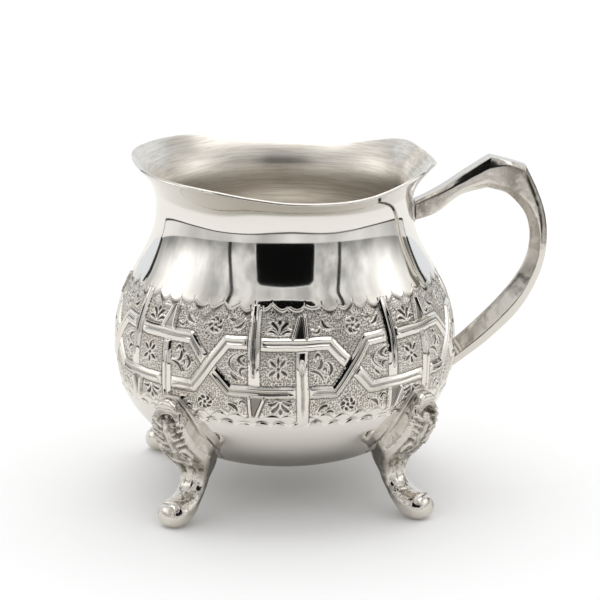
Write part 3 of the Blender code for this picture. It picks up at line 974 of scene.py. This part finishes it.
def ring_normals(rings):
    around = np.roll(rings, -1, 1) - np.roll(rings, 1, 1)
    along = np.gradient(rings, axis=0)
    normal = np.cross(around, along)
    normal /= np.maximum(np.linalg.norm(normal, axis=-1, keepdims=True), 1e-12)
    outward = ((rings - rings.mean(1, keepdims=True)) * normal).sum()
    return normal if outward > 0 else -normal


def make_handle():
    rows = stations_between(HANDLE, HANDLE_STEPS, HANDLE_CORNERS)
    rings = np.array([handle_ring(row) for row in rows])
    share = np.linspace(0, len(HANDLE) - 1, len(rings))[:, None]
    normals = ring_normals(rings)
    level = (rings - rings.mean(1, keepdims=True))[..., 2] * 1000
    sides = np.abs(normals[..., 1])
    top = ease(0.6, 0.95, normals[..., 2]) * ease(3.2, 2.0, share)
    thumb = bump(share, 4.6, 0.9) * ease(0.5, 0.9, sides)
    root = ease(1.9, 0.2, share) * ease(0.35, 0.8, sides)
    pits = np.clip(thumb + root, 0, 1)
    point = np.arange(rings.shape[1])
    on_corner = (point % 7 < 4) & np.isin(point // 7, (0, 1, 2, 7))
    bevel = np.isin(point // 7, (1, 7)) | (point == 0)
    crest = ease(4.9, 5.3, share) * ease(7.4, 6.6, share)
    pits = np.maximum(pits, 0.75 * crest * bevel)
    dents = wander(rings, 0.0022, 3) * 0.00004 + wander(rings, 0.0009, 4) * 0.000035 * pits
    lumps = wander(rings, 0.0075, 5) * 0.00007
    crease = -0.00012 * bump(level, 2.6 - 2.3 * (share - 5.0), 0.35) * ease(5.0, 5.4, share)
    crease *= ease(7.2, 6.4, share) * ease(0.4, 0.8, sides)
    hollow = -0.00018 * top * (1 - ease(0.0, 0.0018, np.abs(rings[..., 1])))
    rings = rings + normals * (dents * (0.4 + 0.6 * pits) + lumps + crease + hollow)[..., None]
    rings = seat_on_body(rings)
    rings[..., 0] += AXIS_X
    handle = capped_loft("loop_handle", rings, cast_silver())
    set_attribute(handle, "pits", pits)
    set_attribute(handle, "recess", crest * on_corner)
    stand_for(handle, "handle")


# ---- feet
class FootRelief:
    """Chasing on the front of a foot, in mm: a goes across and b down from the tip."""

    def __init__(self, a, b):
        self.a, self.b = a, b
        self.height = np.zeros(a.shape)
        self.recess = np.zeros(a.shape)

    def ridge(self, start, middle, end, width, rise, fat=0.5):
        """A tapered ridge along a curve, or a dark hollow where rise is below 0."""
        curve, taper = stroke(start, middle, end, fat, 26)
        half = width / 2 * (0.25 + 0.75 * taper)
        apart = np.hypot(self.a[..., None] - curve[:, 0], self.b[..., None] - curve[:, 1])
        form = np.clip(1 - (apart / half).min(-1) ** 2, 0, 1) ** 0.8
        self.height += rise * form
        if rise < 0:
            self.recess = np.maximum(self.recess, np.minimum(-rise * 2.1, 1.0) * form)


def foot_relief(a, b, width):
    """Height in mm over the front of the foot, how matted it is, and how dark its hollows."""
    relief = FootRelief(a, b)
    ridge = relief.ridge
    edge = np.abs(a) / width
    # the rolled tip of the leaf, and the deep hollow below it
    ridge((-3.6, 2.6), (0.0, 1.2), (3.6, 2.6), 3.0, 1.15)
    ridge((-2.0, 5.0), (0.8, 4.5), (3.4, 6.2), 2.0, -0.95)
    ridge((1.6, 6.4), (2.9, 7.4), (3.9, 8.8), 1.5, -0.45)
    ridge((0.2, 2.8), (0.4, 5.0), (0.0, 7.2), 1.0, 0.75)
    # fanned ribs on both sides of the leaf
    for k in range(4):
        z = 5.4 + 1.75 * k
        for side in (-1, 1):
            slant = 0.25 * math.sin(2.6 * k + side)
            deep = 0.26 + 0.10 * math.sin(1.9 * k - 1.3 * side)
            low, high = z - 0.8 + slant, z + 0.1 + slant
            ridge((side * 1.4, z + 1.2), (side * 3.2, z + 0.2), (side * 5.4, low), 1.0, 0.42)
            ridge((side * 1.6, z + 2.1), (side * 3.1, z + 1.3), (side * 5.0, high), 0.65, -deep)
    # the curled lobes and eyes at the knee
    for side in (-1, 1):
        ridge((side * 1.0, 14.2), (side * 3.9, 12.6), (side * 4.9, 15.4), 1.5, 0.62)
        ridge((side * 2.6, 14.4), (side * 3.2, 15.2), (side * 2.6, 16.0), 1.3, -0.62)
        ridge((side * 4.2, 16.2), (side * 3.0, 18.2), (side * 1.0, 18.6), 1.1, 0.45)
    ridge((0.0, 7.2), (0.3, 11.0), (0.0, 15.0), 1.5, 0.55, fat=0.35)
    ridge((-1.1, 16.9), (0.0, 17.8), (1.1, 16.9), 1.0, -0.50)
    # the lower leaf, which narrows to the ankle
    for side in (-1, 1):
        ridge((side * 3.1, 18.6), (side * 2.9, 22.0), (side * 2.2, 26.0), 0.9, 0.34)
        ridge((side * 1.5, 19.8), (side * 1.7, 22.2), (side * 1.2, 24.4), 0.9, -0.40)
    ridge((0.0, 19.0), (0.0, 22.5), (0.0, 26.5), 1.1, 0.38)
    ridge((0.9, 26.6), (1.3, 28.0), (1.0, 29.6), 0.6, -0.42)
    ridge((-1.4, 26.4), (-1.2, 27.4), (-1.4, 28.6), 0.5, -0.30)
    # a raised line along both edges
    leaf = ease(2.5, 5.0, b) * ease(27.0, 24.0, b)
    relief.height += 0.30 * bump(edge, 0.86, 0.08) * leaf
    relief.height *= ease(1.05, 0.92, edge)
    matted = leaf * ease(0.94, 0.80, edge) * ease(0.40, 0.05, relief.height)
    return relief.height, matted, relief.recess * ease(1.0, 0.9, edge)


def make_foot(name, degrees, material):
    rows = stations_between(FOOT, FOOT_STEPS)
    normal = -profile_normals(rows[:, :2])
    travelled = np.concatenate([[0], np.cumsum(np.hypot(*np.diff(rows[:, :2], axis=0).T))]) * 1000
    turn = 2 * math.pi * np.arange(FOOT_SIDES) / FOOT_SIDES
    squareness = FOOT_SQUARENESS + (TOE_SQUARENESS - FOOT_SQUARENESS) * ease(20, 29, travelled)
    power = 2 / squareness[:, None]
    knee = ease(1.0, 4.0, travelled) * ease(KNEE_AT + 8.0, KNEE_AT + 1.0, travelled)
    rows[:, 2] += 2 * KNEE_WIDENING * bump(travelled, KNEE_AT - 1.0, 5.0)
    side = rounded(np.cos(turn)[None, :], power) * rows[:, 2:3] / 2
    depth = rounded(np.sin(turn)[None, :], power) * rows[:, 3:4] / 2
    on_front = (ease(0.15, 0.6, np.abs(np.sin(turn))) * (np.sin(turn) > 0))[None, :]
    b = np.broadcast_to(travelled[:, None], side.shape)
    width = np.broadcast_to(rows[:, 2:3] * 500, side.shape)
    relief, matted, recess = foot_relief(side * 1000, b, width)
    depth = depth + on_front * relief * MM
    behind = np.clip(-np.sin(turn), 0, 1)[None, :] ** 0.5
    depth = depth - behind * knee[:, None] * KNEE_DEPTH
    bend = side / rows[:, :1]
    radius = rows[:, :1] + normal[:, :1] * depth
    z = rows[:, 1:2] + normal[:, 1:2] * depth
    rings = np.stack([radius * np.cos(bend), radius * np.sin(bend), z], -1)
    lumps = wander(rings, 0.0042, 11) * 0.00010 + wander(rings, 0.0013, 12) * 0.00004
    fades = ease(travelled[-1], travelled[-1] - 6, travelled)[:, None]
    rings = rings + ring_normals(rings) * (lumps * (0.3 + 0.7 * fades))[..., None]
    # flat under the toe, on the table
    rings[..., 2] -= rings[..., 2].min() + 0.0002
    rings[..., 2] = np.maximum(rings[..., 2], 0.0)
    rings = seat_on_body(rings)
    a = math.radians(degrees)
    x, y = rings[..., 0].copy(), rings[..., 1].copy()
    rings[..., 0] = AXIS_X + x * math.cos(a) - y * math.sin(a)
    rings[..., 1] = x * math.sin(a) + y * math.cos(a)
    foot = capped_loft("cast_" + name, rings, material)
    # where the painted shade goes: the sides along the shin, and more faintly beside the leaf
    shin = ease(15, 19, travelled) * ease(36, 30, travelled)
    leaf_side = 0.42 * ease(2, 6, travelled) * ease(24, 18, travelled)
    flank_shade = ease(0.86, 0.97, np.abs(np.cos(turn))) * np.maximum(shin, leaf_side)[:, None]
    set_attribute(foot, "matted", matted * on_front)
    set_attribute(foot, "recess", recess * on_front)
    set_attribute(foot, "flank_shade", flank_shade)
    stand_for(foot, name)


# ---- solder
def bead(path, radius, material, name, closed):
    """A round bead of solder along a path of points."""
    sides = 12
    ends = (np.roll(path, -1, 0), np.roll(path, 1, 0))
    tangent = ends[0] - ends[1] if closed else np.gradient(path, axis=0)
    tangent /= np.linalg.norm(tangent, axis=1, keepdims=True)
    away = (path - np.array([AXIS_X, 0, 0])) * (1, 1, 0)
    away /= np.linalg.norm(away, axis=1, keepdims=True)
    across_path = np.cross(tangent, away)
    across_path /= np.linalg.norm(across_path, axis=1, keepdims=True)
    outward = np.cross(across_path, tangent)
    turn = (np.arange(sides) * 2 * math.pi / sides)[None, :, None]
    circles = np.cos(turn) * across_path[:, None] + np.sin(turn) * outward[:, None]
    rings = path[:, None] + np.broadcast_to(radius, len(path))[:, None, None] * circles
    if not closed:
        return capped_loft(name, rings, material)
    quads = grid_quads(len(rings) + 1, sides, wrap=True) % (len(rings) * sides)
    return face_out(mesh_object(name, rings.reshape(-1, 3), quads, materials=(material,)))


def on_body(angle, height, lift):
    """Points on the body's surface at angles round the vessel and heights."""
    return turned(body_radius(height) + lift, height, angle)


def make_solder():
    metal = solder_silver()
    steps, leaf_sections, leaf_end_z = 8, 5, 0.0165
    rows = stations_between(FOOT, steps)[: steps * leaf_sections]
    rows = rows[rows[:, 1] > leaf_end_z]
    heights = np.concatenate([rows[::-1, 1], rows[:, 1]])
    halves = rows[:, 2] / 2 + 0.0002
    side = np.concatenate([-halves[::-1], halves])
    point = np.arange(len(side))
    taper = ease(0, 6, point) * ease(0, 6, point[::-1])
    for name, degrees in FOOT_ANGLES.items():
        angle = math.radians(degrees) + side / body_radius(heights)
        path = on_body(angle, heights, 0.0001)
        piece = bead(path, 0.0002 + 0.0004 * taper, metal, "fillet_" + name, closed=False)
        stand_for(piece, "solder_" + name)
    for row, name in ((HANDLE[0], "handle_upper"), (HANDLE[-1], "handle_lower")):
        ring = np.array(handle_ring(row))
        ring += (ring - ring.mean(0)) * 0.02
        path = on_body(np.arcsin(ring[:, 1] / np.maximum(ring[:, 0], 0.02)), ring[:, 2], 0.0001)
        piece = bead(path, 0.00042, metal, "fillet_" + name, closed=True)
        stand_for(piece, "solder_" + name)


# ---- studio
def table_material():
    """The table as the silver reflects it: grey, and dark in the deep shade under the jug."""
    nodes = Nodes("table_grey")
    lit = nodes.ramp(nodes.distance(), SHADE_NEAR, SHADE_FAR)
    colour = nodes.colours(lit, (0.39, 0.38, 0.365), (0.76, 0.745, 0.715))
    return nodes.shade({"Base Color": colour, "Roughness": 0.8, "Specular IOR Level": 0.2})


def floor_material():
    """Pale paper that turns far off into the white of the background, so no horizon shows."""
    nodes = Nodes("floor_white")
    far = nodes.ramp(nodes.distance(), 0.9, 2.6)
    return nodes.shade(
        {
            "Base Color": nodes.colours(far, (0.87, 0.87, 0.87), (0, 0, 0)),
            "Roughness": 0.9,
            "Specular IOR Level": 0.0,
            "Emission Color": (1, 1, 1),
            "Emission Strength": nodes.times(far, DAYLIGHT),
        }
    )


def glow(name, colour, strength, hot=None, folds=0.0, dim=0.0):
    """A lit panel of tent fabric: a soft hot spot (place, radius, gain), soft folds, and how
    much dimmer it gets towards the table."""
    nodes = Nodes(name)
    nodes.tree.nodes.remove(nodes.shader)
    value = strength
    if folds:
        cloud = nodes.noise(nodes.stretched(nodes.place(), (2.2, 2.2, 1.2)), 1.6)
        value = nodes.times(nodes.mix(nodes.ramp(cloud, 0.3, 0.7), 1 - folds, 1.0), value)
    if dim:
        high = nodes.ramp(nodes.apart()["Z"], 0.0, 0.42)
        value = nodes.times(value, nodes.mix(high, 1 - dim, 1.0))
    if hot:
        spot, radius, gain = hot
        near = nodes.ramp(nodes.math("DIVIDE", nodes.distance(spot), radius), 0.0, 1.0)
        value = nodes.plus(value, nodes.mix(near, gain, 0.0))
    light = nodes.add("ShaderNodeEmission", {"Color": colour, "Strength": value})
    nodes.put(light.outputs[0], nodes.tree.nodes["Material Output"].inputs["Surface"])
    return nodes.material


def hang(card, studio):
    """The card shows in the silver's reflections, and neither lights nor shades the floor."""
    card.parent = studio
    card.visible_camera = False
    card.visible_diffuse = False
    card.visible_shadow = False


def card_object(name, corners, material):
    """A flat card with four corners."""
    return mesh_object(name, np.array(corners, float), [[0, 1, 2, 3]], materials=(material,))


def upright(name, start, end, low, high, material, studio):
    """An upright card between two points of the floor plan."""
    corners = [(*start, low), (*end, low), (*end, high), (*start, high)]
    hang(card_object("tent_" + name, corners, material), studio)


def towards(degrees, distance):
    """The point of the floor plan at an angle from the camera's side, plus to the right."""
    return distance * math.sin(math.radians(degrees)), -distance * math.cos(math.radians(degrees))


def make_walls(studio):
    """The tent's four walls and its roof. The front has a rounded dark opening and a slot."""
    white, cool = (1.0, 0.985, 0.955), (0.94, 0.97, 1.0)
    f, s, b, t = TENT_FRONT, TENT_SIDE, TENT_BACK, TENT_TOP
    black = glow("tent_black", (1, 1, 1), 0.004)
    front = glow("tent_front", white, PANEL_LIGHT, folds=0.50, dim=0.42)
    left = glow("tent_left", white, PANEL_LIGHT, ((-s, 0.05, 0.55), 0.68, 0.75), 0.45, 0.50)
    right = glow("tent_right", white, PANEL_LIGHT, ((s, 0.05, 0.55), 0.68, 0.75), 0.45, 0.50)
    back = glow("tent_back", cool, 0.86)
    opening_left, opening_right, opening_top, corner = -0.46, 0.50, 0.945, 0.15
    for row in (
        ("front_left", (-s, f), (opening_left, f), 0, t, front),
        ("front_right", (opening_right, f), (s, f), 0, t, front),
        ("front_top", (opening_left, f), (opening_right, f), opening_top, t, front),
        ("slot", (-0.34, f + 0.01), (0.38, f + 0.01), 1.30, 1.80, black),
        ("opening", (opening_left, f - 0.02), (opening_right, f - 0.02), 0, opening_top, black),
        ("left", (-s, f), (-s, b), 0, t, left),
        ("right", (s, f), (s, b), 0, t, right),
        ("back", (-s, b), (s, b), 0, t, back),
    ):
        upright(*row, studio)
    for k, (edge, step) in enumerate(((opening_left, corner), (opening_right, -corner))):
        rounding = [(edge, f - 0.005, opening_top)]
        for turn in np.linspace(0, math.pi / 2, 9):
            x = edge + step * (1 - math.cos(turn))
            rounding.append((x, f - 0.005, opening_top - corner * (1 - math.sin(turn))))
        fans = [(0, i, i + 1) for i in range(1, len(rounding) - 1)]
        piece = mesh_object(f"tent_corner_{k + 1}", np.array(rounding), [], fans, (front,))
        hang(piece, studio)
    mid = -0.35
    for name, near, far, light in (("tent_top", mid, b, 1.75), ("tent_brow", f, mid, 0.60)):
        corners = [(-s, near, t), (s, near, t), (s, far, t), (-s, far, t)]
        hang(card_object(name, corners, glow(name, white, light)), studio)


def make_sill(studio):
    """Dark seams and an olive strip near the walls, and a low lit sill round the front and
    sides of the jug, with a dark skirt and two dark ends."""
    sill = glow("tent_sill", (1.0, 0.985, 0.955), 0.92, folds=0.50)
    seam = glow("tent_seam", (0.9, 0.9, 0.8), 0.04)
    olive = glow("tent_olive", (0.9, 0.84, 0.66), 0.20)
    for name, start, end, distance, material in (
        ("front_left", -49.0, -45.8, 1.38, seam),
        ("front_right", 46.9, 50.0, 1.38, seam),
        ("back_left", -132.8, -128.6, 1.30, seam),
        ("back_right", 130.0, 133.5, 1.30, seam),
        ("olive", 118.0, 128.0, 1.20, olive),
    ):
        ends = towards(start, distance), towards(end, distance)
        upright("seam_" + name, *ends, 0, TENT_TOP, material, studio)
    near, wide, far, bend = -0.290, 0.275, 0.205, 0.17
    route = [(-wide, far)]
    for turn in np.linspace(0, math.pi / 2, 13):
        route.append((-wide + bend * (1 - math.cos(turn)), near + bend * (1 - math.sin(turn))))
    route += [(-x, y) for x, y in reversed(route)]
    for k, (start, end) in enumerate(zip(route, route[1:])):
        upright(f"sill_{k + 1}", start, end, 0, SILL_HEIGHT, sill, studio)
        inner = [(x * 0.99, y * 0.99) for x, y in (start, end)]
        upright(f"skirt_{k + 1}", *inner, 0, SKIRT_HEIGHT, seam, studio)
    for side, x in (("left", -wide), ("right", wide)):
        upright(f"sill_edge_{side}", (x, far), (x, far + 0.007), 0, SILL_HEIGHT, seam, studio)


def make_studio():
    studio = add_object("studio", None)
    studio.location = (AXIS_X, 0, 0)
    studio.rotation_euler.z = -CAMERA_TURN
    make_walls(studio)
    make_sill(studio)

    lamp = bpy.data.lights.new("overhead", "AREA")
    lamp.size = 1.7
    lamp.energy = OVERHEAD_POWER
    overhead = add_object("overhead", lamp)
    overhead.parent = studio
    overhead.location = (0, 0.55, TENT_TOP - 0.1)
    overhead.visible_glossy = False

    corners = [(-4, -4, 0), (4, -4, 0), (4, 4, 0), (-4, 4, 0)]
    floor = card_object("floor", corners, floor_material())
    floor.visible_glossy = False
    floor.visible_diffuse = False
    floor.visible_shadow = False
    f, s, b, under = TENT_FRONT, TENT_SIDE, TENT_BACK, -0.0005
    corners = [(-s, f, under), (s, f, under), (s, b, under), (-s, b, under)]
    hang(card_object("table", corners, table_material()), studio)

    world = bpy.data.worlds.new("studio_white")
    world.use_nodes = True
    background = world.node_tree.nodes["Background"]
    background.inputs["Color"].default_value = (1, 1, 1, 1)
    background.inputs["Strength"].default_value = DAYLIGHT
    bpy.context.scene.world = world
    bpy.context.scene.view_settings.view_transform = "Standard"


def make_camera():
    turn, lift = -CAMERA_TURN, CAMERA_ELEVATION
    target = Vector((AXIS_X, 0, BELLY_Z))
    flat = math.cos(lift)
    back = Vector((math.sin(turn) * flat, -math.cos(turn) * flat, math.sin(lift)))
    right = Vector((math.cos(turn), math.sin(turn), 0))
    place = target + back * CAMERA_DISTANCE
    aim = target + right * AIM_RIGHT + back.cross(right) * AIM_UP
    data = bpy.data.cameras.new("camera")
    data.lens = CAMERA_LENS
    data.clip_start = 0.01
    camera = add_object("camera", data)
    camera.location = place
    camera.rotation_mode = "QUATERNION"
    camera.rotation_quaternion = (aim - place).to_track_quat("-Z", "Y")
    bpy.context.scene.camera = camera


# ---- the jug
make_camera()
make_studio()
make_shell()
make_band()
make_handle()
foot_metal = foot_silver()
for foot_name, foot_degrees in FOOT_ANGLES.items():
    make_foot(foot_name, foot_degrees, foot_metal)
make_solder()
